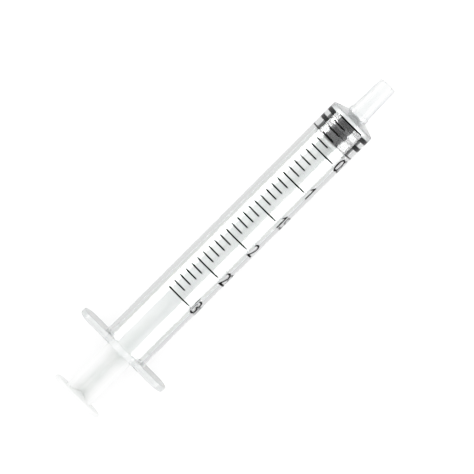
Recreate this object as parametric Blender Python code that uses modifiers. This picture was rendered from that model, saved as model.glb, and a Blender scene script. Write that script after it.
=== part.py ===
"""Oral syringe, 3 mL, with a plain slip nozzle.

Three moulded pieces lie on one axis, which runs along +X towards the nozzle:

    barrel        clear tube with finger flange, conical end, collar and nozzle
    stopper       rubber piston with two sealing ribs, a rear lip and a socket
    plunger_rod   cross-ribbed rod with thumb plate, front disc and snap head

Units are metres and +Z is up.  The syringe lies down: the flats of the finger flange
and the rim of the thumb plate touch z = 0, and the origin is under the middle of the
object.  The plunger is pushed fully home.
"""
import math

import bmesh
import bpy

MM = 0.001

# Barrel: stations run along the axis from the rear face of the finger flange.
BORE_DIAMETER = 8.85 * MM
BARREL_WALL = 0.85 * MM
BARREL_LENGTH = 66.4 * MM            # rear face to the edge of the shoulder
SHOULDER_LENGTH = 1.05 * MM          # shallow cone from the wall to the collar
SHOULDER_EDGE_RADIUS = 0.45 * MM
END_WALL = 1.25 * MM                 # measured along the axis
COLLAR_DIAMETER = 4.8 * MM
COLLAR_LENGTH = 0.9 * MM
COLLAR_DRAFT = 0.072 * MM            # how much the collar narrows, on the radius
NOZZLE_LENGTH = 8.15 * MM
NOZZLE_BASE_DIAMETER = 4.3 * MM
NOZZLE_TIP_DIAMETER = 3.85 * MM
NOZZLE_TIP_RADIUS = 0.4 * MM
NOZZLE_BORE_DIAMETER = 1.9 * MM
MOUTH_CHAMFER = 0.25 * MM
BEAD_STATION = 3.4 * MM              # bead that keeps the stopper in the barrel
BEAD_LENGTH = 0.8 * MM
BEAD_HEIGHT = 0.12 * MM

# Finger flange: a disc with two flats, moulded on the rear end of the barrel.
FLANGE_SPAN = 23.0 * MM
FLANGE_DEPTH = 12.0 * MM
FLANGE_THICKNESS = 1.4 * MM
FLANGE_CORNER_RADIUS = 1.5 * MM

# Rubber stopper
STOPPER_CLEARANCE = 0.05 * MM        # ribs to bore, on the radius
STOPPER_LENGTH = 5.05 * MM           # rear face to the front edge of the first rib
STOPPER_LIP_LENGTH = 0.3 * MM
STOPPER_RIB_LENGTH = 0.95 * MM
STOPPER_GROOVE_LENGTH = 1.1 * MM
STOPPER_GROOVE_DEPTH = 0.15 * MM
STOPPER_NOSE_GAP = 0.15 * MM         # nose to the conical end of the bore
STOPPER_NOSE_TIP_DIAMETER = 1.8 * MM

# Plunger rod
THUMB_PLATE_DIAMETER = 12.0 * MM
THUMB_PLATE_THICKNESS = 0.95 * MM
THUMB_PLATE_EDGE = 0.2 * MM
THUMB_STANDOFF = 12.0 * MM           # plate to flange with the plunger home
ROD_RIB_CLEARANCE = 0.28 * MM        # rib tips to bore, on the radius
ROD_RIB_THICKNESS = 1.1 * MM
ROD_VALLEY_RADIUS = 0.35 * MM
ROD_RIB_ANGLE = 45.0                 # degrees between the ribs and the flange's span
ROD_ROOT_HEIGHT = 1.2 * MM           # low cone that carries the ribs on the plate
ROD_ROOT_DIAMETER = 9.0 * MM
ROD_DISC_THICKNESS = 0.75 * MM
NECK_DIAMETER = 3.2 * MM
NECK_LENGTH = 1.3 * MM
HEAD_DIAMETER = 4.8 * MM
HEAD_BAND_LENGTH = 0.6 * MM
HEAD_LENGTH = 1.9 * MM
HEAD_TIP_DIAMETER = 2.6 * MM
SOCKET_CLEARANCE = 0.1 * MM          # head and neck to the socket, all round
SEAT_GAP = 0.1 * MM                  # rod disc to the rear face of the stopper

TURN_STEPS = 48
ARC_STEPS = 5
FLANGE_ARC_STEPS = 8
OVERCUT = 1.0 * MM
MERGE_DISTANCE = 0.0001 * MM
CRISP_ANGLE = 30.0                   # degrees; sharper edges stay crisp

# Places worked out from the sizes above
BORE_RADIUS = BORE_DIAMETER / 2
BARREL_RADIUS = BORE_RADIUS + BARREL_WALL
SHOULDER_END = BARREL_LENGTH + SHOULDER_LENGTH
COLLAR_END = SHOULDER_END + COLLAR_LENGTH
NOZZLE_END = COLLAR_END + NOZZLE_LENGTH
CONE_SLOPE = SHOULDER_LENGTH / (BARREL_RADIUS - COLLAR_DIAMETER / 2)
BORE_CONE_STATION = BARREL_LENGTH + (BARREL_RADIUS - BORE_RADIUS) * CONE_SLOPE - END_WALL
BORE_CONE_END = BORE_CONE_STATION + (BORE_RADIUS - NOZZLE_BORE_DIAMETER / 2) * CONE_SLOPE
STOPPER_RADIUS = BORE_RADIUS - STOPPER_CLEARANCE
STOPPER_FRONT = BORE_CONE_STATION - STOPPER_NOSE_GAP
STOPPER_STATION = STOPPER_FRONT - STOPPER_LENGTH
ROD_DISC_FRONT = STOPPER_STATION - SEAT_GAP
ROD_STATION = -(THUMB_STANDOFF + THUMB_PLATE_THICKNESS)
ROD_RIB_SPAN = BORE_DIAMETER - 2 * ROD_RIB_CLEARANCE
AXIS_HEIGHT = max(FLANGE_DEPTH / 2, THUMB_PLATE_DIAMETER / 2, BARREL_RADIUS)
MIDDLE_STATION = (ROD_STATION + NOZZLE_END) / 2


def clear_scene():
    """Remove whatever the file holds at the start."""
    for old in list(bpy.data.objects):
        bpy.data.objects.remove(old, do_unlink=True)


def new_collection(name, hidden=False):
    """Make a collection in the scene."""
    collection = bpy.data.collections.new(name)
    bpy.context.scene.collection.children.link(collection)
    collection.hide_render = hidden
    return collection


def new_material(name, colour, roughness, transmission=0.0, ior=1.45):
    """Make a plain material for one moulded piece."""
    material = bpy.data.materials.new(name)
    material.use_nodes = True
    shader = material.node_tree.nodes["Principled BSDF"]
    shader.inputs["Base Color"].default_value = (*colour, 1.0)
    shader.inputs["Roughness"].default_value = roughness
    shader.inputs["Metallic"].default_value = 0.0
    shader.inputs["Transmission Weight"].default_value = transmission
    shader.inputs["IOR"].default_value = ior
    return material


def arc(centre, radius, start, end, steps=ARC_STEPS):
    """Points of a circular arc in a plane, from one angle in degrees to another."""
    angles = [math.radians(start + (end - start) * i / steps) for i in range(steps + 1)]
    return [(centre[0] + radius * math.cos(a), centre[1] + radius * math.sin(a)) for a in angles]


def turned(name, profile, collection, closed=False):
    """Turn a profile of (radius, station) points, outer side first, about the axis."""
    mesh = bpy.data.meshes.new(name)
    shape = bmesh.new()
    points = [shape.verts.new((radius, 0.0, station)) for radius, station in profile]
    for first, second in zip(points, points[1:]):
        shape.edges.new((first, second))
    if closed:
        shape.edges.new((points[-1], points[0]))
    shape.to_mesh(mesh)
    shape.free()
    piece = bpy.data.objects.new(name, mesh)
    collection.objects.link(piece)
    screw = piece.modifiers.new("turn", "SCREW")
    screw.axis = "Z"
    screw.angle = math.tau
    screw.steps = screw.render_steps = TURN_STEPS
    screw.use_merge_vertices = True
    screw.merge_threshold = MERGE_DISTANCE
    screw.use_smooth_shade = True
    return piece


def extruded(name, outline, thickness, collection):
    """Extrude a flat outline along the axis, from station 0 up to its thickness."""
    curve = bpy.data.curves.new(name, "CURVE")
    curve.dimensions = "2D"
    curve.fill_mode = "BOTH"
    curve.extrude = thickness / 2
    spline = curve.splines.new("POLY")
    spline.points.add(len(outline) - 1)
    for point, (x, y) in zip(spline.points, outline):
        point.co = (x, y, 0.0, 1.0)
    spline.use_cyclic_u = True
    drawing = bpy.data.objects.new(name + "_outline", curve)
    collection.objects.link(drawing)
    evaluated = drawing.evaluated_get(bpy.context.evaluated_depsgraph_get())
    mesh = bpy.data.meshes.new_from_object(evaluated)
    bpy.data.objects.remove(drawing, do_unlink=True)
    shape = bmesh.new()
    shape.from_mesh(mesh)
    bmesh.ops.remove_doubles(shape, verts=shape.verts, dist=MERGE_DISTANCE)
    bmesh.ops.translate(shape, verts=shape.verts, vec=(0.0, 0.0, thickness / 2))
    shape.to_mesh(mesh)
    shape.free()
    piece = bpy.data.objects.new(name, mesh)
    collection.objects.link(piece)
    return piece


def add_boolean(piece, operation, other):
    """Join a shape to a piece, or cut it from the piece."""
    boolean = piece.modifiers.new(other.name, "BOOLEAN")
    boolean.operation = operation
    boolean.solver = "EXACT"
    boolean.object = other


def make_cutter(piece):
    """Mark a shape as one that only joins to or cuts from another."""
    piece.hide_render = True
    piece.display_type = "WIRE"


def place(piece, axis, station, turn=0.0):
    """Set a shape on the syringe's axis at its station."""
    piece.parent = axis
    piece.location = (0.0, 0.0, station)
    piece.rotation_euler = (0.0, 0.0, math.radians(turn))


def settle(piece, material):
    """Make the modifiers' result the piece's own mesh, smooth with crisp edges."""
    bpy.context.view_layer.update()
    evaluated = piece.evaluated_get(bpy.context.evaluated_depsgraph_get())
    mesh = bpy.data.meshes.new_from_object(evaluated)
    piece.modifiers.clear()
    piece.data = mesh
    mesh.name = piece.name
    mesh.materials.clear()
    mesh.materials.append(material)
    mesh.shade_smooth()
    mesh.set_sharp_from_angle(angle=math.radians(CRISP_ANGLE))


def rounded(corners, radius):
    """Round some corners of an outline; each corner is (x, y, whether it is rounded)."""
    outline = []
    count = len(corners)
    for index, (x, y, is_round) in enumerate(corners):
        if not is_round:
            outline.append((x, y))
            continue
        before, after = corners[index - 1], corners[(index + 1) % count]
        first = math.atan2(before[1] - y, before[0] - x)
        second = math.atan2(after[1] - y, after[0] - x)
        half = ((second - first + math.pi) % math.tau - math.pi) / 2
        reach = radius / abs(math.sin(half))
        middle = first + half
        centre = (x + reach * math.cos(middle), y + reach * math.sin(middle))
        turn = math.copysign(math.pi / 2 - abs(half), half)
        for step in range(ARC_STEPS + 1):
            angle = middle + math.pi + turn * (1 - 2 * step / ARC_STEPS)
            outline.append((centre[0] + radius * math.cos(angle), centre[1] + radius * math.sin(angle)))
    return outline


def flange_outline():
    """Outline of the finger flange: a circle with two flats and eased corners."""
    flat = FLANGE_DEPTH / 2
    radius = FLANGE_SPAN / 2
    corner = math.degrees(math.asin(flat / radius))
    outline = []
    for middle in (90.0, 270.0):
        end = arc((0.0, 0.0), radius, middle - corner, middle + corner, FLANGE_ARC_STEPS)
        outline += [(x, y, index in (0, len(end) - 1)) for index, (x, y) in enumerate(end)]
    return rounded(outline, FLANGE_CORNER_RADIUS)


def barrel_skin_profile():
    """Outer side of the barrel from the nozzle's end back into the flange."""
    tip = NOZZLE_TIP_DIAMETER / 2
    edge = SHOULDER_EDGE_RADIUS
    cone = 90.0 - math.degrees(math.atan(CONE_SLOPE))
    profile = [(0.0, NOZZLE_END)]
    tip_centre = (tip - NOZZLE_TIP_RADIUS, NOZZLE_END - NOZZLE_TIP_RADIUS)
    profile += arc(tip_centre, NOZZLE_TIP_RADIUS, 90.0, 0.0)
    profile.append((NOZZLE_BASE_DIAMETER / 2, COLLAR_END))
    profile.append((COLLAR_DIAMETER / 2 - COLLAR_DRAFT, COLLAR_END))
    profile.append((COLLAR_DIAMETER / 2, SHOULDER_END))
    reach = edge * math.tan(math.radians(cone) / 2)
    profile += arc((BARREL_RADIUS - edge, BARREL_LENGTH - reach), edge, cone, 0.0)
    profile.append((BARREL_RADIUS, FLANGE_THICKNESS / 2))
    profile.append((0.0, FLANGE_THICKNESS / 2))
    return profile


def barrel_bore_profile():
    """Inside of the barrel, from the nozzle's bore back through the open mouth."""
    nozzle = NOZZLE_BORE_DIAMETER / 2
    bead = BEAD_STATION + BEAD_LENGTH
    return [
        (0.0, NOZZLE_END + OVERCUT),
        (nozzle, NOZZLE_END + OVERCUT),
        (nozzle, BORE_CONE_END),
        (BORE_RADIUS, BORE_CONE_STATION),
        (BORE_RADIUS, bead),
        (BORE_RADIUS - BEAD_HEIGHT, bead - BEAD_LENGTH / 3),
        (BORE_RADIUS - BEAD_HEIGHT, BEAD_STATION + BEAD_LENGTH / 3),
        (BORE_RADIUS, BEAD_STATION),
        (BORE_RADIUS, MOUTH_CHAMFER),
        (BORE_RADIUS + MOUTH_CHAMFER + OVERCUT, -OVERCUT),
        (0.0, -OVERCUT),
    ]


def stopper_profile():
    """Stopper from its nose back over the ribs and into the socket for the head."""
    groove = STOPPER_RADIUS - STOPPER_GROOVE_DEPTH
    nose = STOPPER_NOSE_TIP_DIAMETER / 2
    nose_end = STOPPER_LENGTH + (STOPPER_RADIUS - nose) * CONE_SLOPE
    front_rib = STOPPER_LENGTH - STOPPER_RIB_LENGTH
    rear_rib_front = front_rib - STOPPER_GROOVE_LENGTH
    rear_rib = rear_rib_front - STOPPER_RIB_LENGTH
    ease = STOPPER_GROOVE_DEPTH / 2
    profile = [(0.0, nose_end), (nose, nose_end)]
    for back, front in ((front_rib, STOPPER_LENGTH), (rear_rib, rear_rib_front)):
        if front < STOPPER_LENGTH:
            profile.append((groove, front + ease))
        profile += [(STOPPER_RADIUS, front), (STOPPER_RADIUS, back), (groove, back - ease)]
    profile.append((groove, STOPPER_LIP_LENGTH + ease))
    profile += [(STOPPER_RADIUS, STOPPER_LIP_LENGTH), (STOPPER_RADIUS, 0.0)]
    clear = SOCKET_CLEARANCE
    throat = NECK_DIAMETER / 2 + clear
    cavity = HEAD_DIAMETER / 2 + clear
    head_back = NECK_LENGTH - SEAT_GAP
    profile += [
        (throat, 0.0),
        (throat, head_back - clear),
        (cavity, head_back - clear),
        (cavity, head_back + HEAD_BAND_LENGTH + clear),
        (HEAD_TIP_DIAMETER / 2 + clear, head_back + HEAD_LENGTH + clear),
        (0.0, head_back + HEAD_LENGTH + clear),
    ]
    return profile


def thumb_plate_profile():
    """Thumb plate with an eased rim and the low cone under the ribs."""
    radius = THUMB_PLATE_DIAMETER / 2
    edge = THUMB_PLATE_EDGE
    return [
        (0.0, THUMB_PLATE_THICKNESS + ROD_ROOT_HEIGHT),
        (ROD_RIB_THICKNESS / 2, THUMB_PLATE_THICKNESS + ROD_ROOT_HEIGHT),
        (ROD_ROOT_DIAMETER / 2, THUMB_PLATE_THICKNESS),
        (radius - edge, THUMB_PLATE_THICKNESS),
        (radius, THUMB_PLATE_THICKNESS - edge),
        (radius, edge),
        (radius - edge, 0.0),
        (0.0, 0.0),
    ]


def spigot_profile(rod_length):
    """Front disc, neck and snap head; stations run from the rear of the thumb plate."""
    disc = ROD_RIB_SPAN / 2
    head_back = rod_length + NECK_LENGTH
    return [
        (0.0, head_back + HEAD_LENGTH),
        (HEAD_TIP_DIAMETER / 2, head_back + HEAD_LENGTH),
        (HEAD_DIAMETER / 2, head_back + HEAD_BAND_LENGTH),
        (HEAD_DIAMETER / 2, head_back),
        (NECK_DIAMETER / 2, head_back),
        (NECK_DIAMETER / 2, rod_length),
        (disc, rod_length),
        (disc, rod_length - ROD_DISC_THICKNESS),
        (0.0, rod_length - ROD_DISC_THICKNESS),
    ]


def cross_outline():
    """Plus-shaped section of the rod, with a small radius in each valley."""
    tip = ROD_RIB_SPAN / 2
    half = ROD_RIB_THICKNESS / 2
    corners = []
    for quarter in range(4):
        cosine, sine = round(math.cos(quarter * math.pi / 2)), round(math.sin(quarter * math.pi / 2))
        for x, y, is_round in ((tip, -half, False), (tip, half, False), (half, half, True)):
            corners.append((x * cosine - y * sine, x * sine + y * cosine, is_round))
    return rounded(corners, ROD_VALLEY_RADIUS)


def make_barrel(pieces, cutters, axis, material):
    """Barrel: flange plate joined to the turned skin, then bored out."""
    barrel = extruded("barrel", flange_outline(), FLANGE_THICKNESS, pieces)
    skin = turned("barrel_skin", barrel_skin_profile(), cutters)
    bore = turned("barrel_bore", barrel_bore_profile(), cutters)
    for shape in (skin, bore):
        make_cutter(shape)
        place(shape, axis, 0.0)
    place(barrel, axis, 0.0)
    add_boolean(barrel, "UNION", skin)
    add_boolean(barrel, "DIFFERENCE", bore)
    settle(barrel, material)
    return barrel


def make_stopper(pieces, axis, material):
    """Stopper, set on the axis by its rear face."""
    stopper = turned("stopper", stopper_profile(), pieces)
    place(stopper, axis, STOPPER_STATION)
    settle(stopper, material)
    return stopper


def make_plunger_rod(pieces, cutters, axis, material):
    """Plunger rod: thumb plate joined to the cross ribs and to the front spigot."""
    rod_length = ROD_DISC_FRONT - ROD_STATION
    rib_start = THUMB_PLATE_THICKNESS / 2
    rib_end = rod_length - ROD_DISC_THICKNESS / 2
    rod = turned("plunger_rod", thumb_plate_profile(), pieces)
    ribs = extruded("rod_ribs", cross_outline(), rib_end - rib_start, cutters)
    spigot = turned("rod_spigot", spigot_profile(rod_length), cutters)
    place(rod, axis, ROD_STATION)
    place(ribs, axis, ROD_STATION + rib_start, turn=ROD_RIB_ANGLE)
    place(spigot, axis, ROD_STATION)
    for shape in (ribs, spigot):
        make_cutter(shape)
        add_boolean(rod, "UNION", shape)
    settle(rod, material)
    return rod


def main():
    """Build the syringe."""
    clear_scene()
    pieces = new_collection("oral_syringe")
    cutters = new_collection("cutters", hidden=True)
    axis = bpy.data.objects.new("syringe_axis", None)
    axis.empty_display_size = BARREL_RADIUS
    axis.location = (-MIDDLE_STATION, 0.0, AXIS_HEIGHT)
    axis.rotation_euler = (0.0, math.pi / 2, 0.0)
    pieces.objects.link(axis)
    clear_polypropylene = new_material("clear_polypropylene", (0.92, 0.94, 0.95), 0.08, 1.0, 1.49)
    natural_polypropylene = new_material("natural_polypropylene", (0.86, 0.88, 0.88), 0.3)
    dark_rubber = new_material("dark_rubber", (0.03, 0.03, 0.032), 0.45)
    make_barrel(pieces, cutters, axis, clear_polypropylene)
    make_stopper(pieces, axis, dark_rubber)
    make_plunger_rod(pieces, cutters, axis, natural_polypropylene)


main()
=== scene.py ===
"""Looks of a 3 mL oral syringe: clear barrel, dark rubber stopper, natural plunger rod.

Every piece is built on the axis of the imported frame.  A station is a place along that
axis, measured in metres from a piece's own rear face, and an angle is measured round the
axis from straight up, positive towards the side on which the numerals are printed (-Y).
"""

from __future__ import annotations

import logging
import math
from dataclasses import dataclass
from enum import Enum
from typing import Callable, Iterable, Sequence

import bmesh
import bpy
from mathutils import Matrix, Vector

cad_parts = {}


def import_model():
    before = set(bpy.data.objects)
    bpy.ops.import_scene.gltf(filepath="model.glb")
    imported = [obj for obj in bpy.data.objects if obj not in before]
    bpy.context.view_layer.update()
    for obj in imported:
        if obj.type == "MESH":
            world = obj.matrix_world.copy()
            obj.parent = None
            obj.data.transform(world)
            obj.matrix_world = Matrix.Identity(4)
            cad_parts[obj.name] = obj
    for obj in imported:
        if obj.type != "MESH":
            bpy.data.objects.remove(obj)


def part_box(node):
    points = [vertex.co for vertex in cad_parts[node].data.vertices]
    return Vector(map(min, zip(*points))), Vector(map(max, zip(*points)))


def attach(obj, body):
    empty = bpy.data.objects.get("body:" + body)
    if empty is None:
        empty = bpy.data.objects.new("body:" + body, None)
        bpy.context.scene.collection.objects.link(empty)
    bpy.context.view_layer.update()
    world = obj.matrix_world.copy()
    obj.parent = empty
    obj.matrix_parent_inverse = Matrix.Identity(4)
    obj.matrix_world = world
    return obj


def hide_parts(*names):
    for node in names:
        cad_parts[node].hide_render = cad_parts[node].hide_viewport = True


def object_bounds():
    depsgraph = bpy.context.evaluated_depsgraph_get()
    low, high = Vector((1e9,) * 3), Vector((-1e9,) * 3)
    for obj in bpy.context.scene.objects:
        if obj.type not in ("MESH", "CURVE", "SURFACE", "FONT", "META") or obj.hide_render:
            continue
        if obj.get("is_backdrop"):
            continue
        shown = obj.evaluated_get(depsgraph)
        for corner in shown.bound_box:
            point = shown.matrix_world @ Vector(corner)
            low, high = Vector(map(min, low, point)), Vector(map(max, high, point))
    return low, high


LOG = logging.getLogger("oral_syringe")
MM = 0.001
SEAT_GAP = 0.1 * MM  # between the rod's front disc and the stopper
ZERO_GAP = 0.2 * MM  # from the stopper's front edge to the zero line


class Body(Enum):
    """Moving bodies of the syringe."""

    BARREL = "barrel"
    STOPPER = "stopper"
    PLUNGER = "plunger"


class Slot(Enum):
    """Material slots of the record."""

    CLEAR = "clear_plastic"
    NATURAL = "natural_plastic"
    RUBBER = "dark_rubber"
    INK = "scale_ink"


# ---- colours and nodes


def linear(code: str) -> tuple[float, float, float, float]:
    """Turn an sRGB hex colour into a linear one.

    Args:
        code: six hex digits with a leading hash sign.

    Returns:
        Linear red, green, blue and an alpha of 1.
    """
    channels = [int(code[i : i + 2], 16) / 255 for i in (1, 3, 5)]
    red, green, blue = (
        c / 12.92 if c <= 0.04045 else ((c + 0.055) / 1.055) ** 2.4 for c in channels
    )
    return red, green, blue, 1.0


def add_node(
    tree: bpy.types.NodeTree, kind: str, settings: dict | None = None, **links: object
) -> bpy.types.Node:
    """Add a node with its settings, and link or set its inputs.

    Args:
        tree: node tree that takes the node.
        kind: Blender's identifier of the node type.
        settings: attributes of the node, such as its operation.
        links: input names (spaces as underscores, or i0, i1 for a place) to an output
            socket or a plain value.

    Returns:
        The new node.
    """
    node = tree.nodes.new(kind)
    for name, value in (settings or {}).items():
        setattr(node, name, value)
    for name, value in links.items():
        by_place = name[0] == "i" and name[1:].isdigit()
        key: int | str = int(name[1:]) if by_place else name.replace("_", " ")
        socket = node.inputs[key]
        if isinstance(value, bpy.types.NodeSocket):
            tree.links.new(value, socket)
        else:
            socket.default_value = value
    return node


def add_math(
    tree: bpy.types.NodeTree, operation: str, *values: bpy.types.NodeSocket | float
) -> bpy.types.NodeSocket:
    """Add a math node.

    Args:
        tree: node tree that takes the node.
        operation: what it does.
        values: its inputs in order, as output sockets or plain numbers.

    Returns:
        The node's output socket.
    """
    inputs = {f"i{place}": value for place, value in enumerate(values)}
    return add_node(tree, "ShaderNodeMath", {"operation": operation}, **inputs).outputs[0]


def add_vector(
    tree: bpy.types.NodeTree, **parts: bpy.types.NodeSocket
) -> bpy.types.NodeSocket:
    """Join sockets given as X, Y and Z into one vector."""
    return add_node(tree, "ShaderNodeCombineXYZ", **parts).outputs[0]


def add_object(name: str, data: bpy.types.ID) -> bpy.types.Object:
    """Make an object around its data and link it to the scene."""
    made = bpy.data.objects.new(name, data)
    bpy.context.scene.collection.objects.link(made)
    return made


def new_material(name: str) -> tuple[bpy.types.Material, bpy.types.Node]:
    """Make a material with a Principled shader.

    Args:
        name: name of the material.

    Returns:
        The material and its shader node.
    """
    material = bpy.data.materials.new(name)
    material.use_nodes = True
    return material, material.node_tree.nodes["Principled BSDF"]


def set_inputs(shader: bpy.types.Node, **values: object) -> None:
    """Set plain values on a shader's own sockets, with underscores for spaces."""
    for name, value in values.items():
        shader.inputs[name.replace("_", " ")].default_value = value


def add_noise(
    tree: bpy.types.NodeTree, size: float, detail: float, roughness: float = 0.5
) -> bpy.types.NodeSocket:
    """Add a noise in a piece's own space.

    Args:
        tree: node tree of the material.
        size: size of the coarsest blobs.
        detail: count of finer layers.
        roughness: strength of the finer layers.

    Returns:
        The noise's output socket.
    """
    place = add_node(tree, "ShaderNodeTexCoord")
    noise = add_node(
        tree,
        "ShaderNodeTexNoise",
        Vector=place.outputs["Object"],
        Scale=1 / size,
        Detail=detail,
        Roughness=roughness,
    )
    return noise.outputs[0]


def colour_by(
    shader: bpy.types.Node, noise: bpy.types.NodeSocket, stops: Sequence[tuple[float, str]]
) -> None:
    """Let a noise mix two colours into a shader's base colour.

    Args:
        shader: the shader.
        noise: output socket of the noise.
        stops: two pairs of a noise value and its colour.
    """
    tree = shader.id_data
    ramp = add_node(tree, "ShaderNodeValToRGB", Fac=noise)
    for element, (position, code) in zip(ramp.color_ramp.elements, stops):
        element.position = position
        element.color = linear(code)
    tree.links.new(ramp.outputs[0], shader.inputs["Base Color"])


def bump_by(shader: bpy.types.Node, noise: bpy.types.NodeSocket, depth: float) -> None:
    """Let a noise raise and lower a shader's surface by a depth."""
    tree = shader.id_data
    bump = add_node(tree, "ShaderNodeBump", Strength=1.0, Distance=depth, Height=noise)
    tree.links.new(bump.outputs[0], shader.inputs["Normal"])


# ---- finishes


@dataclass(frozen=True)
class ClearPolypropylene:
    """Clarified polypropylene: the thin tube is clear, thick ends cool slowly and turn milky.

    The polished core leaves a hard shine on the tube.  The spark-finished ends are satin.
    """

    name: str = "clear_moulded_polypropylene"
    tint: str = "#FDFEFE"
    ior: float = 1.49
    roughness: float = 0.015
    clarity: float = 1.0
    flow_wave: float = 11.0 * MM  # faint waviness left by the melt
    flow_depth: float = 0.0006 * MM
    flow_roughness: float = 0.4

    def make(self) -> bpy.types.Material:
        """Build the material."""
        material, shader = new_material(self.name)
        wave = add_noise(material.node_tree, self.flow_wave, 1.0, self.flow_roughness)
        bump_by(shader, wave, self.flow_depth)
        set_inputs(
            shader,
            Base_Color=linear(self.tint),
            Roughness=self.roughness,
            IOR=self.ior,
            Transmission_Weight=self.clarity,
        )
        return material


@dataclass(frozen=True)
class NaturalPolypropylene:
    """Uncoloured polypropylene, translucent like thin milk glass, satin from the tool."""

    name: str = "natural_moulded_polypropylene"
    dense: tuple[float, str] = (0.35, "#C3C5C4")  # noise value and the colour there
    pale: tuple[float, str] = (0.65, "#C9CAC9")
    ior: float = 1.49
    roughness: float = 0.4
    haze: float = 0.7  # share of the light that enters and wanders
    depth: float = 6.0 * MM  # how far it wanders inside
    cloud: float = 4.0 * MM
    grain: float = 0.25 * MM
    grain_depth: float = 0.001 * MM

    def make(self) -> bpy.types.Material:
        """Build the material."""
        material, shader = new_material(self.name)
        tree = material.node_tree
        colour_by(shader, add_noise(tree, self.cloud, 2.0), (self.dense, self.pale))
        bump_by(shader, add_noise(tree, self.grain, 1.0), self.grain_depth)
        set_inputs(
            shader,
            Roughness=self.roughness,
            IOR=self.ior,
            Subsurface_Weight=self.haze,
            Subsurface_Radius=(1.0, 1.0, 1.0),
            Subsurface_Scale=self.depth,
        )
        return material


@dataclass(frozen=True)
class StopperRubber:
    """Compression-moulded black rubber, satin, wet with a film of silicone oil."""

    name: str = "black_stopper_rubber"
    dark: tuple[float, str] = (0.4, "#0C0C0D")  # noise value and the colour there
    worn: tuple[float, str] = (0.7, "#161617")
    ior: float = 1.52
    roughness: float = 0.3
    sheen: float = 0.42
    oil: float = 0.1  # film of silicone oil, which mirrors the panels
    oil_roughness: float = 0.12
    mottle: float = 1.5 * MM
    grain: float = 0.12 * MM
    grain_depth: float = 0.0003 * MM

    def make(self) -> bpy.types.Material:
        """Build the material."""
        material, shader = new_material(self.name)
        tree = material.node_tree
        colour_by(shader, add_noise(tree, self.mottle, 3.0), (self.dark, self.worn))
        bump_by(shader, add_noise(tree, self.grain, 2.0), self.grain_depth)
        set_inputs(
            shader,
            Roughness=self.roughness,
            IOR=self.ior,
            Specular_IOR_Level=self.sheen,
            Coat_Weight=self.oil,
            Coat_Roughness=self.oil_roughness,
        )
        return material


@dataclass(frozen=True)
class ScaleInk:
    """Pad-printed black ink: dense, matt, a little thinner in places."""

    name: str = "black_printed_ink"
    dense: tuple[float, str] = (0.45, "#050505")  # noise value and the colour there
    thin: tuple[float, str] = (0.75, "#131313")
    roughness: float = 0.6
    sheen: float = 0.25
    speckle: float = 0.15 * MM

    def make(self) -> bpy.types.Material:
        """Build the material."""
        material, shader = new_material(self.name)
        colour_by(shader, add_noise(material.node_tree, self.speckle, 1.0), (self.dense, self.thin))
        set_inputs(shader, Roughness=self.roughness, Specular_IOR_Level=self.sheen)
        return material


# ---- frame and meshes


@dataclass(frozen=True)
class Axis:
    """The syringe's axis, which runs along +X at one height above the floor."""

    height: float

    def point(self, x: float, radius: float, angle: float) -> Vector:
        """Point at a radius and an angle (radians from straight up, towards -Y)."""
        return Vector((x, -radius * math.sin(angle), self.height + radius * math.cos(angle)))


def around(columns: int) -> list[float]:
    """Angles spread evenly round the axis."""
    return [math.tau * index / columns for index in range(columns)]


@dataclass(frozen=True)
class Corner:
    """A corner of a turned profile: radius, station, and the fillet on it."""

    radius: float
    station: float
    fillet: float = 0.0


def eased(
    corners: Sequence[Corner], steps: int = 6, support: float = 0.03 * MM
) -> list[tuple[float, float]]:
    """Round the corners of an open profile and brace its long straight runs.

    Args:
        corners: the profile's corners in order.
        steps: segments in each fillet.
        support: distance from a fillet to the extra point that keeps the run flat.

    Returns:
        Points as (radius, station).
    """
    points = [Vector((c.radius, c.station)) for c in corners]
    stretches: list[list[Vector]] = []
    for index, corner in enumerate(corners):
        here = points[index]
        if corner.fillet <= 0.0 or index in (0, len(corners) - 1):
            stretches.append([here])
            continue
        back = (points[index - 1] - here).normalized()
        ahead = (points[index + 1] - here).normalized()
        half = back.angle(ahead) / 2
        middle = (back + ahead).normalized()
        centre = here + middle * (corner.fillet / math.sin(half))
        reach = corner.fillet / math.tan(half)
        start = here + back * reach - centre
        sweep = start.angle_signed(here + ahead * reach - centre)
        arc = []
        for step in range(steps + 1):
            turn = Matrix.Rotation(-sweep * step / steps, 2)
            arc.append(centre + turn @ start)
        stretches.append(arc)
    result: list[Vector] = []
    for index, stretch in enumerate(stretches):
        if result:
            gap = stretch[0] - result[-1]
            if gap.length > 4 * support:
                if len(stretches[index - 1]) > 1:
                    result.append(result[-1] + gap.normalized() * support)
                if len(stretch) > 1:
                    result.append(stretch[0] - gap.normalized() * support)
        result.extend(stretch)
    return [(point.x, point.y) for point in result]


def mesh_from_rings(
    name: str, rings: Sequence[Sequence[Vector]], closed: bool
) -> bpy.types.Object:
    """Join rings of points into one closed skin.

    Args:
        name: name of the new object.
        rings: rings with the same count of points, or a single point at a pole.
        closed: whether the last ring joins the first, as in a tube open at both ends.

    Returns:
        The object, with its place in its mesh.
    """
    shape = bmesh.new()
    made = [[shape.verts.new(point) for point in ring] for ring in rings]
    pairs = list(zip(made, made[1:]))
    if closed:
        pairs.append((made[-1], made[0]))
    for first, second in pairs:
        count = max(len(first), len(second))
        for index in range(count):
            after = (index + 1) % count
            face = [
                first[index % len(first)],
                first[after % len(first)],
                second[after % len(second)],
                second[index % len(second)],
            ]
            shape.faces.new(dict.fromkeys(face))
    bmesh.ops.recalc_face_normals(shape, faces=shape.faces)
    mesh = bpy.data.meshes.new(name)
    shape.to_mesh(mesh)
    shape.free()
    mesh.shade_smooth()
    return add_object(name, mesh)


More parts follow.
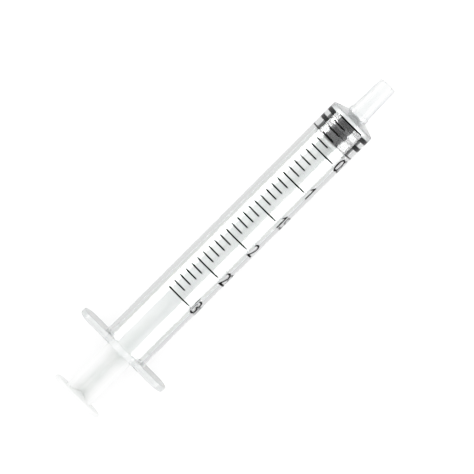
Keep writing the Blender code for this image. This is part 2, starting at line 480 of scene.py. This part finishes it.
def finish_piece(
    piece: bpy.types.Object,
    materials: Sequence[bpy.types.Material],
    body: Body,
) -> None:
    """Dress a piece and set it on its body."""
    for material in materials:
        piece.data.materials.append(material)
    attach(piece, body.value)
    LOG.info("%s: %d faces on %s", piece.name, len(piece.data.polygons), body.value)


# ---- barrel


@dataclass
class Barrel:
    """Clear barrel with finger flange, retaining bead, conical end and slip nozzle."""

    axis: Axis
    rear: float
    length: float
    flange_span: float
    flange_depth: float
    radius: float = 5.275 * MM
    bore: float = 4.425 * MM
    flange_thickness: float = 1.4 * MM
    flange_edge: float = 0.42 * MM
    flange_front_edge: float = 0.12 * MM
    flange_corner: float = 1.5 * MM
    flange_root: float = 0.18 * MM
    flange_start: float = 0.216 * MM  # how far outside the tube the flange's faces begin
    rim_support: float = 0.04 * MM
    mouth_ease: float = 0.25 * MM
    shoulder: float = 66.4 * MM
    shoulder_length: float = 1.05 * MM
    shoulder_edge: float = 0.45 * MM
    end_wall: float = 1.25 * MM
    collar: float = 2.4 * MM
    collar_front: float = 2.328 * MM
    collar_length: float = 0.9 * MM
    collar_root: float = 0.15 * MM
    fine_edge: float = 0.12 * MM
    nozzle_base: float = 2.15 * MM
    nozzle_tip: float = 1.925 * MM
    nozzle_tip_edge: float = 0.4 * MM
    nozzle_root: float = 0.1 * MM
    nozzle_bore: float = 0.95 * MM
    cone_tip_ease: float = 0.3 * MM
    band: float = 65.38 * MM  # where the outside turns milky over the thick end
    band_gap: float = 0.1 * MM  # clear strip before the shoulder's edge
    collar_clear: float = 0.27 * MM  # clear start of the collar
    bead_station: float = 3.4 * MM
    bead_length: float = 0.8 * MM
    bead_height: float = 0.05 * MM
    bead_ease: float = 0.5 * MM
    columns: int = 240

    @property
    def slope(self) -> float:
        """Rise of the shoulder's cone along the axis for each unit of radius."""
        return self.shoulder_length / (self.radius - self.collar)

    @property
    def cone_station(self) -> float:
        """Station where the bore turns into its conical end."""
        return self.shoulder + (self.radius - self.bore) * self.slope - self.end_wall

    @property
    def milky_zones(self) -> tuple[tuple[float, float], ...]:
        """Spans of stations where the plastic is thick enough to turn milky."""
        return (
            (-MM, self.flange_thickness),
            (self.band, self.shoulder - self.band_gap),
            (self.shoulder + self.shoulder_length + self.collar_clear, self.length + MM),
        )

    def flange_radius(self, angle: float) -> float:
        """Radius of the flange's outline at an angle: a circle with two flats."""
        flat, outer, corner = self.flange_depth / 2, self.flange_span / 2, self.flange_corner
        across, up = abs(math.sin(angle)), abs(math.cos(angle))
        centre_up = flat - corner
        centre_across = math.sqrt((outer - corner) ** 2 - centre_up**2)
        turn = math.atan2(up, across)
        if turn <= math.atan2(centre_up, centre_across):
            return outer
        if turn >= math.atan2(flat, centre_across):
            return flat / up
        along = centre_across * across + centre_up * up
        beside = centre_across * up - centre_up * across
        return along + math.sqrt(corner**2 - beside**2)

    def skin_profile(self) -> list[tuple[float, float]]:
        """Outside of the tube from the flange's front face to the end of the nozzle."""
        collar_end = self.shoulder + self.shoulder_length + self.collar_length
        return eased(
            [
                Corner(self.radius + self.flange_start, self.flange_thickness),
                Corner(self.radius, self.flange_thickness, self.flange_root),
                Corner(self.radius, self.band),
                Corner(self.radius, self.shoulder, self.shoulder_edge),
                Corner(self.collar, self.shoulder + self.shoulder_length, self.collar_root),
                Corner(self.collar_front, collar_end, self.fine_edge),
                Corner(self.nozzle_base, collar_end, self.nozzle_root),
                Corner(self.nozzle_tip, self.length, self.nozzle_tip_edge),
                Corner((self.nozzle_tip + self.nozzle_bore) / 2, self.length),
            ]
        )

    def bore_profile(self) -> list[tuple[float, float]]:
        """Inside from the end of the nozzle back to the mouth and the flange's rear face."""
        bead = self.bead_station
        cone_end = self.cone_station + (self.bore - self.nozzle_bore) * self.slope
        low = self.bore - self.bead_height
        return eased(
            [
                Corner((self.nozzle_tip + self.nozzle_bore) / 2, self.length),
                Corner(self.nozzle_bore, self.length, self.fine_edge),
                Corner(self.nozzle_bore, cone_end, self.cone_tip_ease),
                Corner(self.bore, self.cone_station, self.fine_edge),
                Corner(self.bore, bead + self.bead_length, self.bead_ease),
                Corner(low, bead + self.bead_length / 2, self.bead_ease),
                Corner(self.bore, bead, self.bead_ease),
                Corner(self.bore, 0.0, self.mouth_ease),
                Corner(self.radius + self.flange_start, 0.0),
            ],
            steps=5,
        )

    def rim(self) -> list[tuple[float, float]]:
        """Rounded rim of the flange, as (inset from the outline, station), rear to front."""
        rear, front = self.flange_edge, self.flange_front_edge
        points = [(rear + self.rim_support, 0.0)]
        steps = 6
        turns = ((rear, rear, 0.0), (front, self.flange_thickness - front, 90.0))
        for edge, station, start in turns:
            for step in range(steps + 1):
                angle = math.radians(start + 90.0 * step / steps)
                points.append((edge * (1 - math.sin(angle)), station - edge * math.cos(angle)))
        points.append((front + self.rim_support, self.flange_thickness))
        return points

    def build(self, clear: bpy.types.Material, milky: bpy.types.Material) -> bpy.types.Object:
        """Build and dress the barrel.

        Args:
            clear: plastic of the thin tube.
            milky: the same plastic where it is thick, at the flange and the nozzle end.

        Returns:
            The barrel.
        """
        angles = around(self.columns)

        def ring(station: float, reach: Callable[[float], float]) -> list[Vector]:
            """One ring of points at a station."""
            return [self.axis.point(self.rear + station, reach(angle), angle) for angle in angles]

        rings = []
        for inset, station in self.rim():
            rings.append(ring(station, lambda a, i=inset: self.flange_radius(a) - i))
        for radius, station in self.skin_profile() + self.bore_profile()[1:]:
            rings.append(ring(station, lambda a, r=radius: r))
        barrel = mesh_from_rings("barrel_clear_moulding", rings, closed=True)
        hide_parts("barrel")
        finish_piece(barrel, (clear, milky), Body.BARREL)
        for face in barrel.data.polygons:
            station = face.center.x - self.rear
            in_zone = any(start < station < end for start, end in self.milky_zones)
            face.material_index = int(in_zone)
        return barrel


# ---- scale


@dataclass
class PrintedScale:
    """Graduations and numerals printed on the barrel."""

    axis: Axis
    zero: float
    radius: float
    millilitre: float = 16.257 * MM
    divisions: int = 10
    capacity: int = 3
    major_every: int = 5
    line_width: float = 0.32 * MM
    film: float = 0.012 * MM
    start_angle: float = math.radians(-30.3)
    short_end: float = math.radians(3.6)
    long_end: float = math.radians(38.0)
    line_steps: int = 24
    numeral_height: float = 3.15 * MM
    numeral_angle: float = math.radians(48.5)
    numeral_base: float = 0.87 * MM  # how far the baseline stands behind its line
    numeral_slice: float = 0.2 * MM
    numeral_spacing: float = 0.95
    capital_share: float = 0.7  # height of a capital as a share of the text's size
    weld: float = 1e-7
    unit: str = " mL"
    flag_reach: float = 0.6 * MM
    flag_drop: float = 0.75 * MM
    flag_overlap: float = 0.1 * MM
    flag_tip: float = 1.2  # thickness of the flag in line widths
    flag_root: float = 1.7

    def tick_tree(self, ink: bpy.types.Material) -> bpy.types.NodeTree:
        """Node tree that prints the lines round the barrel.

        Args:
            ink: material of the lines.

        Returns:
            A tree whose inputs set the count, spacing, sizes and angles of the lines.
        """
        tree = bpy.data.node_groups.new("graduation_lines", "GeometryNodeTree")
        face = tree.interface
        face.new_socket("Geometry", in_out="OUTPUT", socket_type="NodeSocketGeometry")
        inputs = {
            "Count": self.capacity * self.divisions + 1,
            "Spacing": self.millilitre / self.divisions,
            "Major Every": self.major_every,
            "Zero": self.zero,
            "Line Width": self.line_width,
            "Film": self.film,
            "Radius": self.radius,
            "Axis Height": self.axis.height,
            "Start Angle": self.start_angle,
            "Short End": self.short_end,
            "Long End": self.long_end,
        }
        for name, value in inputs.items():
            kind = "NodeSocketInt" if isinstance(value, int) else "NodeSocketFloat"
            face.new_socket(name, in_out="INPUT", socket_type=kind).default_value = value
        given = add_node(tree, "NodeGroupInput").outputs
        back = add_math(tree, "MULTIPLY", given["Spacing"], -1.0)
        row = add_node(
            tree,
            "GeometryNodeMeshLine",
            {"mode": "OFFSET"},
            Count=given["Count"],
            Start_Location=add_vector(tree, X=given["Zero"]),
            Offset=add_vector(tree, X=back),
        )
        index = add_node(tree, "GeometryNodeInputIndex").outputs[0]
        share = add_math(tree, "FLOORED_MODULO", index, given["Major Every"])
        is_minor = add_node(
            tree, "FunctionNodeCompare", {"operation": "GREATER_THAN"}, A=share, B=0.5
        )
        sorted_lines = add_node(
            tree,
            "GeometryNodeSeparateGeometry",
            {"domain": "POINT"},
            Geometry=row.outputs[0],
            Selection=is_minor.outputs[0],
        )
        joined = add_node(tree, "GeometryNodeJoinGeometry")
        for points, end in zip(sorted_lines.outputs, ("Short End", "Long End")):
            span = add_math(tree, "SUBTRACT", given[end], given["Start Angle"])
            bar = add_node(
                tree,
                "GeometryNodeMeshCube",
                Size=add_vector(tree, X=given["Line Width"], Y=span, Z=given["Film"]),
                Vertices_X=2,
                Vertices_Y=self.line_steps,
                Vertices_Z=2,
            )
            half = add_math(tree, "MULTIPLY", span, 0.5)
            middle = add_math(tree, "ADD", half, given["Start Angle"])
            moved = add_node(
                tree,
                "GeometryNodeTransform",
                Geometry=bar.outputs[0],
                Translation=add_vector(tree, Y=middle),
            )
            printed = add_node(
                tree, "GeometryNodeInstanceOnPoints", Points=points, Instance=moved.outputs[0]
            )
            tree.links.new(printed.outputs[0], joined.inputs[0])
        real = add_node(tree, "GeometryNodeRealizeInstances", Geometry=joined.outputs[0])
        position = add_node(tree, "GeometryNodeInputPosition")
        where = add_node(tree, "ShaderNodeSeparateXYZ", Vector=position.outputs[0]).outputs
        reach = add_math(tree, "ADD", where["Z"], given["Radius"])
        across = add_math(tree, "MULTIPLY", reach, add_math(tree, "SINE", where["Y"]))
        left = add_math(tree, "MULTIPLY", across, -1.0)
        cosine = add_math(tree, "COSINE", where["Y"])
        up = add_math(tree, "MULTIPLY_ADD", reach, cosine, given["Axis Height"])
        placed = add_node(
            tree,
            "GeometryNodeSetPosition",
            Geometry=real.outputs[0],
            Position=add_vector(tree, X=where["X"], Y=left, Z=up),
        )
        turned = add_node(tree, "GeometryNodeFlipFaces", Mesh=placed.outputs[0])
        inked = add_node(tree, "GeometryNodeSetMaterial", Geometry=turned.outputs[0], Material=ink)
        add_node(tree, "NodeGroupOutput", i0=inked.outputs[0])
        return tree

    def lines(self, ink: bpy.types.Material) -> bpy.types.Object:
        """Print the graduation lines as one plain mesh.

        Args:
            ink: material of the lines.

        Returns:
            The lines.
        """
        holder = add_object("graduation_holder", bpy.data.meshes.new("graduation_holder"))
        nodes = holder.modifiers.new("graduations", "NODES")
        nodes.node_group = self.tick_tree(ink)
        for socket in nodes.node_group.interface.items_tree:
            if socket.in_out == "INPUT":
                nodes[socket.identifier] = socket.default_value
        evaluated = holder.evaluated_get(bpy.context.evaluated_depsgraph_get())
        mesh = bpy.data.meshes.new_from_object(evaluated)
        bpy.data.objects.remove(holder, do_unlink=True)
        mesh.name = "scale_lines"
        return add_object("scale_lines", mesh)

    def numeral(self, text: str, line: int) -> bmesh.types.BMesh:
        """Shape one numeral, wrapped on the barrel beside its line.

        Args:
            text: what it says.
            line: index of its graduation, counted from zero.

        Returns:
            A mesh in the row's frame.
        """
        letters = bpy.data.curves.new("numeral", "FONT")
        letters.body = text
        letters.size = self.numeral_height / self.capital_share
        letters.space_character = self.numeral_spacing
        letters.extrude = self.film / 2
        writer = add_object("numeral", letters)
        evaluated = writer.evaluated_get(bpy.context.evaluated_depsgraph_get())
        mesh = bpy.data.meshes.new_from_object(evaluated)
        bpy.data.objects.remove(writer, do_unlink=True)
        shape = bmesh.new()
        shape.from_mesh(mesh)
        bmesh.ops.remove_doubles(shape, verts=shape.verts, dist=self.weld)
        if text.startswith("1"):
            self.add_flag(shape)
        start = min(vert.co.x for vert in shape.verts)
        width = max(vert.co.x for vert in shape.verts) - start
        cuts = math.ceil(width / self.numeral_slice)
        for cut in range(1, cuts):
            geometry = shape.verts[:] + shape.edges[:] + shape.faces[:]
            here = Vector((start + width * cut / cuts, 0.0, 0.0))
            bmesh.ops.bisect_plane(shape, geom=geometry, plane_co=here, plane_no=(1.0, 0.0, 0.0))
        foot = self.zero - line * self.millilitre / self.divisions - self.numeral_base
        for vert in shape.verts:
            angle = self.numeral_angle + (vert.co.x - start) / self.radius
            vert.co = self.axis.point(foot + vert.co.y, self.radius + vert.co.z, angle)
        bmesh.ops.recalc_face_normals(shape, faces=shape.faces)
        return shape

    def add_flag(self, shape: bmesh.types.BMesh) -> None:
        """Give a leading one its flag, in the text's own plane."""
        left = min(vert.co.x for vert in shape.verts)
        top = max(vert.co.y for vert in shape.verts)
        stem = left + self.flag_overlap
        outline = [
            (stem, top),
            (left - self.flag_reach, top - self.flag_drop),
            (left - self.flag_reach, top - self.flag_drop - self.line_width * self.flag_tip),
            (stem, top - self.line_width * self.flag_root),
        ]
        corners = [shape.verts.new((x, y, -self.film / 2)) for x, y in outline]
        face = shape.faces.new(corners)
        raised = bmesh.ops.extrude_face_region(shape, geom=[face], use_keep_orig=True)
        for item in raised["geom"]:
            if isinstance(item, bmesh.types.BMVert):
                item.co.z += self.film

    def numerals(self) -> bpy.types.Object:
        """Print every numeral as one mesh."""
        mesh = bpy.data.meshes.new("scale_numerals")
        whole = bmesh.new()
        last = self.capacity * self.divisions
        for line in range(self.major_every, last + 1, self.major_every):
            text = f"{line / self.divisions:g}" + (self.unit if line == last else "")
            shape = self.numeral(text, line)
            part = bpy.data.meshes.new("numeral_part")
            shape.to_mesh(part)
            shape.free()
            whole.from_mesh(part)
            bpy.data.meshes.remove(part)
        whole.to_mesh(mesh)
        whole.free()
        return add_object("scale_numerals", mesh)

    def build(self, ink: bpy.types.Material) -> None:
        """Print the scale in its ink."""
        for piece in (self.lines(ink), self.numerals()):
            finish_piece(piece, (ink,), Body.BARREL)


# ---- stopper


@dataclass
class Stopper:
    """Rubber stopper: nose, two ribs squeezed flat on the bore, waist and rear lip."""

    axis: Axis
    rear: float
    bore: float
    slope: float
    length: float = 5.05 * MM
    squeeze: float = 0.012 * MM  # how far the ribs press into the bore's skin
    lip: float = 0.28 * MM
    rib: float = 0.95 * MM
    groove_length: float = 1.1 * MM
    groove_depth: float = 0.2 * MM
    nose_tip: float = 0.9 * MM
    throat: float = 1.7 * MM
    cavity: float = 2.5 * MM
    cavity_start: float = 1.1 * MM
    cavity_end: float = 1.9 * MM
    socket_tip: float = 1.4 * MM
    socket_end: float = 3.2 * MM
    foot: float = 0.1 * MM  # how far a groove's wall leans
    crest_edge: float = 0.05 * MM
    edge: float = 0.1 * MM
    tip_edge: float = 0.2 * MM
    columns: int = 192

    def profile(self) -> list[tuple[float, float]]:
        """Half section from the nose over the ribs to the throat of the socket."""
        crest = self.bore + self.squeeze
        groove = self.bore - self.groove_depth
        front_rib = self.length - self.rib
        rear_rib_front = front_rib - self.groove_length
        rear_rib = rear_rib_front - self.rib
        nose_end = self.length + (self.bore - self.nose_tip) * self.slope
        foot, crisp, edge = self.foot, self.crest_edge, self.edge
        return eased(
            [
                Corner(0.0, nose_end),
                Corner(self.nose_tip, nose_end, self.tip_edge),
                Corner(crest, self.length, crisp),
                Corner(crest, front_rib, crisp),
                Corner(groove, front_rib - foot, edge),
                Corner(groove, rear_rib_front + foot, edge),
                Corner(crest, rear_rib_front, crisp),
                Corner(crest, rear_rib, crisp),
                Corner(groove, rear_rib - foot, edge),
                Corner(groove, self.lip + foot, edge),
                Corner(crest, self.lip, crisp),
                Corner(crest, 0.0, crisp),
                Corner(self.throat, 0.0, edge),
                Corner(self.throat, self.cavity_start, edge),
                Corner(self.cavity, self.cavity_start, edge),
                Corner(self.cavity, self.cavity_end, edge),
                Corner(self.socket_tip, self.socket_end, self.tip_edge),
                Corner(0.0, self.socket_end),
            ],
            steps=4,
            support=0.02 * MM,
        )

    def build(self, rubber: bpy.types.Material) -> bpy.types.Object:
        """Build and dress the stopper."""
        angles = around(self.columns)
        rings = []
        for radius, station in self.profile():
            count = angles if radius > 0 else angles[:1]
            rings.append([self.axis.point(self.rear + station, radius, angle) for angle in count])
        stopper = mesh_from_rings("stopper_rubber", rings, closed=False)
        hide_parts("stopper")
        finish_piece(stopper, (rubber,), Body.STOPPER)
        return stopper


# ---- plunger rod


@dataclass
class PlungerRod:
    """Cross-ribbed rod in one moulding with its thumb plate, front disc and head."""

    axis: Axis
    rear: float
    disc_front: float
    head_end: float
    plate: float = 6.0 * MM
    plate_thickness: float = 0.95 * MM
    plate_edge: float = 0.3 * MM
    rib_tip: float = 4.145 * MM
    rib_half: float = 0.55 * MM
    rib_edge: float = 0.22 * MM
    valley: float = 0.9 * MM
    rib_turn: float = math.radians(45.0)
    root_height: float = 1.2 * MM
    root_radius: float = 4.5 * MM
    disc_thickness: float = 0.75 * MM
    disc_root: float = 0.35 * MM
    neck: float = 1.6 * MM
    neck_length: float = 1.3 * MM
    head: float = 2.4 * MM
    head_band: float = 0.6 * MM
    head_tip: float = 1.3 * MM
    root_margin: float = 0.3 * MM  # bare plate left round the cone
    root_power: float = 1.2  # how hollow the cone is
    blend: float = 0.12 * MM  # softness where the ribs leave a round base
    disc_edge: float = 0.12 * MM
    neck_edge: float = 0.1 * MM
    head_edge: float = 0.15 * MM
    tip_edge: float = 0.2 * MM
    flank_steps: int = 14
    root_steps: int = 14
    run_steps: int = 12
    disc_steps: int = 6
    sharp: float = math.radians(40.0)

    def cross(self) -> list[tuple[float, float]]:
        """Section of the ribs as (angle, radius) round the axis.

        Returns:
            Points of the whole section, starting on the middle of one rib's tip.
        """
        quarter: list[Vector] = []
        tip, half, edge, valley = self.rib_tip, self.rib_half, self.rib_edge, self.valley
        for step in range(3):
            quarter.append(Vector((tip, (half - edge) * step / 2)))
        for step in range(1, 4):
            turn = math.radians(90 * step / 4)
            along, beside = edge * math.cos(turn), edge * math.sin(turn)
            quarter.append(Vector((tip - edge + along, half - edge + beside)))
        flank = tip - edge - (half + valley)
        for step in range(self.flank_steps + 1):
            quarter.append(Vector((tip - edge - flank * step / self.flank_steps, half)))
        for step in range(1, 3):
            turn = math.radians(45 * step / 2)
            corner = Vector((half + valley, half + valley))
            quarter.append(corner - valley * Vector((math.sin(turn), math.cos(turn))))
        polar = [(math.atan2(point.y, point.x), point.length) for point in quarter]
        polar += [(math.pi / 2 - angle, radius) for angle, radius in reversed(polar[:-1])]
        whole = []
        for turn in range(4):
            whole += [(angle + turn * math.pi / 2, radius) for angle, radius in polar[:-1]]
        return [(angle + self.rib_turn, radius) for angle, radius in whole]

    def rings(self) -> list[list[Vector]]:
        """Every ring of the moulding, from the rear of the plate to the end of the head."""
        section = self.cross()
        plate_front = self.plate_thickness
        disc_front = self.disc_front - self.rear
        disc_rear = disc_front - self.disc_thickness
        head_start = disc_front + self.neck_length
        head_end = self.head_end - self.rear

        def round_ring(radius: float, station: float) -> list[Vector]:
            """A circle, or a pole where the radius is nothing."""
            if radius <= 0:
                return [self.axis.point(self.rear + station, 0.0, 0.0)]
            return [self.axis.point(self.rear + station, radius, angle) for angle, _ in section]

        def ribbed_ring(base: float, station: float) -> list[Vector]:
            """The ribs' section where it stands out of a round base."""
            points = []
            for angle, rib in section:
                gap = rib - base
                reach = base + (gap + math.sqrt(gap * gap + self.blend * self.blend)) / 2
                radius = min(reach, max(rib, base) + self.blend / 2)
                points.append(self.axis.point(self.rear + station, radius, angle))
            return points

        plate = eased(
            [
                Corner(0.0, 0.0),
                Corner(self.plate, 0.0, self.plate_edge),
                Corner(self.plate, plate_front, self.plate_edge),
                Corner(self.root_radius + self.root_margin, plate_front),
            ]
        )
        rings = [round_ring(radius, station) for radius, station in plate]
        for step in range(self.root_steps + 1):
            share = step / self.root_steps
            base = self.root_radius * (1 - share) ** self.root_power
            rings.append(ribbed_ring(base, plate_front + self.root_height * share))
        rib_start, rib_end = plate_front + self.root_height, disc_rear - self.disc_root
        for step in range(1, self.run_steps):
            run = (rib_end - rib_start) * step / self.run_steps
            rings.append(ribbed_ring(0.0, rib_start + run))
        for step in range(self.disc_steps + 1):
            share = step / self.disc_steps
            base = self.rib_tip * (1 - math.sqrt(max(0.0, 1 - share**2)))
            rings.append(ribbed_ring(base, rib_end + self.disc_root * share))
        front = eased(
            [
                Corner(self.rib_tip, disc_rear),
                Corner(self.rib_tip, disc_front, self.disc_edge),
                Corner(self.neck, disc_front, self.neck_edge),
                Corner(self.neck, head_start, self.neck_edge),
                Corner(self.head, head_start, self.neck_edge),
                Corner(self.head, head_start + self.head_band, self.head_edge),
                Corner(self.head_tip, head_end, self.tip_edge),
                Corner(0.0, head_end),
            ],
            steps=4,
        )
        rings += [round_ring(radius, station) for radius, station in front[1:]]
        return rings

    def build(self, natural: bpy.types.Material) -> bpy.types.Object:
        """Build and dress the rod."""
        rod = mesh_from_rings("plunger_rod_moulding", self.rings(), closed=False)
        rod.data.set_sharp_from_angle(angle=self.sharp)
        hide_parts("plunger_rod")
        finish_piece(rod, (natural,), Body.PLUNGER)
        return rod


# ---- studio


@dataclass(frozen=True)
class Softbox:
    """A rectangular light beside the syringe, between two elevations given in degrees.

    The side is -1 for the numerals' side and 1 for the other, and the radiance is
    measured against white paper.  It shows in gloss and does not light matt surfaces.
    """

    name: str
    side: float
    low: float
    high: float
    radiance: float
    width: float = 0.26
    reach: float = 0.6


@dataclass
class Studio:
    """White sweep with a lit panel under it that carries a painted shadow, a light tent, two
    softboxes and a long lens.
    """

    axis_height: float
    middle: float
    frame_width: float = 95.56 * MM
    distance: float = 2.05
    tilt: float = math.radians(3.55)
    roll: float = math.radians(44.95)
    aim_forward: float = 1.34 * MM
    aim_side: float = 0.12 * MM
    sensor: float = 36.0
    floor_size: float = 3.0
    cloth_side: float = 1.05
    cloth_top: float = 1.65
    cloth_low: float = 0.2  # sine of the elevation where the cloth starts to brighten
    cloth_high: float = 0.75
    softboxes: tuple[Softbox, ...] = (
        Softbox("numeral_side_softbox", -1.0, 4.0, 52.0, 8.5),
        Softbox("far_side_softbox", 1.0, 6.0, 41.0, 10.0),
    )
    sweep_tone: str = "#F4F4F4"
    sweep_glow: float = 0.2  # light that comes up through the paper and thins the shadows
    # Lit panel under the sweep: bright along the syringe, dimmer beside it as a painted shadow of
    # the syringe on the floor
    table_drop: float = 0.1 * MM
    table_bright: float = 2.5 * MM
    table_painted_shadow_from: float = 6.0 * MM
    table_high: float = 1.0
    table_painted_shadow_glow: float = 0.7
    paper_white: float = 1.08
    toe: float = 0.04
    shoulder: float = 0.76
    curve_steps: int = 14
    clear_bounces: int = 32  # light crosses many walls of clear plastic
    other_bounces: int = 12
    far_clip: float = 10.0

    @property
    def toe_curve(self) -> float:
        """Strength of the toe, which joins the straight part smoothly."""
        return 1.0 / (4.0 * self.toe)

    def sheet(self, name: str, height: float) -> bpy.types.Object:
        """Lay a square sheet as wide as the floor.

        Args:
            name: name of the sheet.
            height: its height above the floor.

        Returns:
            The sheet.
        """
        half = self.floor_size / 2
        places = ((-half, -half), (half, -half), (half, half), (-half, half))
        mesh = bpy.data.meshes.new(name)
        mesh.from_pydata([(x, y, height) for x, y in places], [], [(0, 1, 2, 3)])
        return add_object(name, mesh)

    def floor(self) -> None:
        """Lay the white sweep, which hides the lit panel from the camera."""
        sweep = self.sheet("sweep", 0.0)
        material, shader = new_material("white_sweep_paper")
        set_inputs(
            shader,
            Base_Color=linear(self.sweep_tone),
            Roughness=1.0,
            Specular_IOR_Level=0.0,
            Emission_Color=linear("#FFFFFF"),
            Emission_Strength=self.sweep_glow,
        )
        sweep.data.materials.append(material)
        sweep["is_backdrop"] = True
        sweep.visible_transmission = sweep.visible_glossy = False

    def light_table(self) -> None:
        """Set a lit panel under the sweep, which only shows in and through clear plastic.

        It is bright along the syringe and darker beside it: the darker part is a painted shadow of
        the syringe on the floor, which draws the edges of clear parts as grey lines.
        """
        table = self.sheet("light_table", -self.table_drop)
        material = bpy.data.materials.new("lit_panel_painted_shadow")
        material.use_nodes = True
        tree = material.node_tree
        tree.nodes.clear()
        place = add_node(tree, "ShaderNodeTexCoord")
        parts = add_node(tree, "ShaderNodeSeparateXYZ", Vector=place.outputs["Object"])
        beside = add_math(tree, "ABSOLUTE", parts.outputs["Y"])
        # Painted shadow: the panel's glow dims away from the syringe's axis, standing in for the
        # syringe's shadow on the floor
        glow = add_node(
            tree,
            "ShaderNodeMapRange",
            {"interpolation_type": "SMOOTHSTEP"},
            Value=beside,
            From_Min=self.table_bright,
            From_Max=self.table_painted_shadow_from,
            To_Min=self.table_high,
            To_Max=self.table_painted_shadow_glow,
        )
        lit = add_node(tree, "ShaderNodeEmission", Strength=glow.outputs[0])
        add_node(tree, "ShaderNodeOutputMaterial", Surface=lit.outputs[0])
        material.cycles.emission_sampling = "NONE"
        table.data.materials.append(material)
        table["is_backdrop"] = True

    def softbox(self, box: Softbox) -> None:
        """Hang one softbox beside the syringe.

        Args:
            box: its place and brightness.
        """
        middle = math.radians((box.low + box.high) / 2)
        height = 2 * box.reach * math.tan(math.radians(box.high - box.low) / 2)
        lamp = bpy.data.lights.new(box.name, "AREA")
        lamp.shape = "RECTANGLE"
        lamp.size = box.width
        lamp.size_y = height
        lamp.energy = box.radiance * math.pi * box.width * height
        light = add_object(box.name, lamp)
        away = Vector((0.0, box.side * math.cos(middle), math.sin(middle)))
        light.location = Vector((self.middle, 0.0, self.axis_height)) + away * box.reach
        light.rotation_mode = "QUATERNION"
        light.rotation_quaternion = away.to_track_quat("Z", "Y")
        light.visible_camera = False
        light.visible_diffuse = False

    def tent(self) -> None:
        """Surround the syringe with a white tent, brighter overhead than at the sides."""
        world = bpy.data.worlds.new("light_tent")
        bpy.context.scene.world = world
        world.use_nodes = True
        tree = world.node_tree
        tree.nodes.clear()
        place = add_node(tree, "ShaderNodeTexCoord")
        parts = add_node(tree, "ShaderNodeSeparateXYZ", Vector=place.outputs["Generated"])
        cloth = add_node(
            tree,
            "ShaderNodeMapRange",
            {"interpolation_type": "SMOOTHSTEP"},
            Value=parts.outputs["Z"],
            From_Min=self.cloth_low,
            From_Max=self.cloth_high,
            To_Min=self.cloth_side,
            To_Max=self.cloth_top,
        )
        glow = add_node(tree, "ShaderNodeBackground", Strength=cloth.outputs[0])
        glow.inputs["Color"].default_value = (1.0, 1.0, 1.0, 1.0)
        add_node(tree, "ShaderNodeOutputWorld", Surface=glow.outputs[0])

    def develop(self) -> None:
        """Give the picture a soft shoulder, so that pale plastics keep their tones near white."""
        view = bpy.context.scene.view_settings
        view.view_transform = "Standard"
        view.use_curve_mapping = True
        mapping = view.curve_mapping
        mapping.white_level = (self.paper_white,) * 3
        curve = mapping.curves[3]
        for step in range(1, self.curve_steps):
            share = (step / self.curve_steps) ** 2
            curve.points.new(share, self.tone(share * self.paper_white))
        mapping.update()

    def tone(self, light: float) -> float:
        """Display value of a scene value: a short toe, a straight part and a shoulder."""
        in_toe = light < 2 * self.toe
        lifted = self.toe_curve * light * light if in_toe else light - self.toe
        span = 1.0 - self.shoulder
        if lifted > self.shoulder:
            lifted = 1.0 - span * span / (lifted + span - self.shoulder)
        top = self.paper_white - self.toe
        peak = 1.0 - span * span / (top + span - self.shoulder)
        return min(1.0, lifted / peak)

    def camera(self) -> None:
        """Set the camera above the syringe, tilted a little towards its nozzle."""
        lens = bpy.data.cameras.new("long_lens")
        lens.sensor_width = self.sensor
        lens.lens = self.sensor * self.distance / self.frame_width
        lens.clip_end = self.far_clip
        camera = add_object("long_lens", lens)
        along = Vector((math.cos(self.tilt), 0.0, -math.sin(self.tilt)))
        back = Vector((math.sin(self.tilt), 0.0, math.cos(self.tilt)))
        side = Vector((0.0, -1.0, 0.0))
        cosine, sine = math.cos(self.roll), math.sin(self.roll)
        right = along * cosine + side * sine
        up = along * sine - side * cosine
        target = Vector((self.middle + self.aim_forward, -self.aim_side, self.axis_height))
        pose = Matrix((right, up, back)).transposed().to_4x4()
        pose.translation = target + back * self.distance
        camera.matrix_world = pose
        bpy.context.scene.camera = camera

    def build(self) -> None:
        """Set the whole studio."""
        self.floor()
        self.light_table()
        self.tent()
        for box in self.softboxes:
            self.softbox(box)
        self.camera()
        self.develop()
        paths = bpy.context.scene.cycles
        paths.max_bounces = paths.transmission_bounces = self.clear_bounces
        paths.diffuse_bounces = paths.glossy_bounces = self.other_bounces
        paths.sample_clamp_indirect = 0.0


# ---- main


def corners(box: Iterable[Vector]) -> list[list[float]]:
    """Give a box's two corners as plain lists."""
    return [list(corner) for corner in box]


def main() -> None:
    """Build the syringe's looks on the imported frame."""
    logging.basicConfig(level=logging.INFO, format="%(name)s: %(message)s")
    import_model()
    cad_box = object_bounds()
    barrel_low, barrel_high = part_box("barrel")
    stopper_low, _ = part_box("stopper")
    rod_low, rod_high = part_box("plunger_rod")
    axis = Axis(height=(barrel_low.z + barrel_high.z) / 2)
    barrel = Barrel(
        axis=axis,
        rear=barrel_low.x,
        length=barrel_high.x - barrel_low.x,
        flange_span=barrel_high.y - barrel_low.y,
        flange_depth=barrel_high.z - barrel_low.z,
    )
    milky = ClearPolypropylene(
        name="milky_moulded_polypropylene", tint="#EEF0F0", roughness=0.2, clarity=0.75
    )
    barrel.build(ClearPolypropylene().make(), milky.make())
    stopper = Stopper(axis=axis, rear=stopper_low.x, bore=barrel.bore, slope=barrel.slope)
    stopper.build(StopperRubber().make())
    rod = PlungerRod(
        axis=axis,
        rear=rod_low.x,
        disc_front=stopper_low.x - SEAT_GAP,
        head_end=rod_high.x,
    )
    rod.build(NaturalPolypropylene().make())
    zero = stopper_low.x + stopper.length + ZERO_GAP
    PrintedScale(axis=axis, zero=zero, radius=barrel.radius).build(ScaleInk().make())
    middle = (cad_box[0].x + cad_box[1].x) / 2
    Studio(axis_height=axis.height, middle=middle).build()
    bpy.context.view_layer.update()


if __name__ == "__main__":
    main()
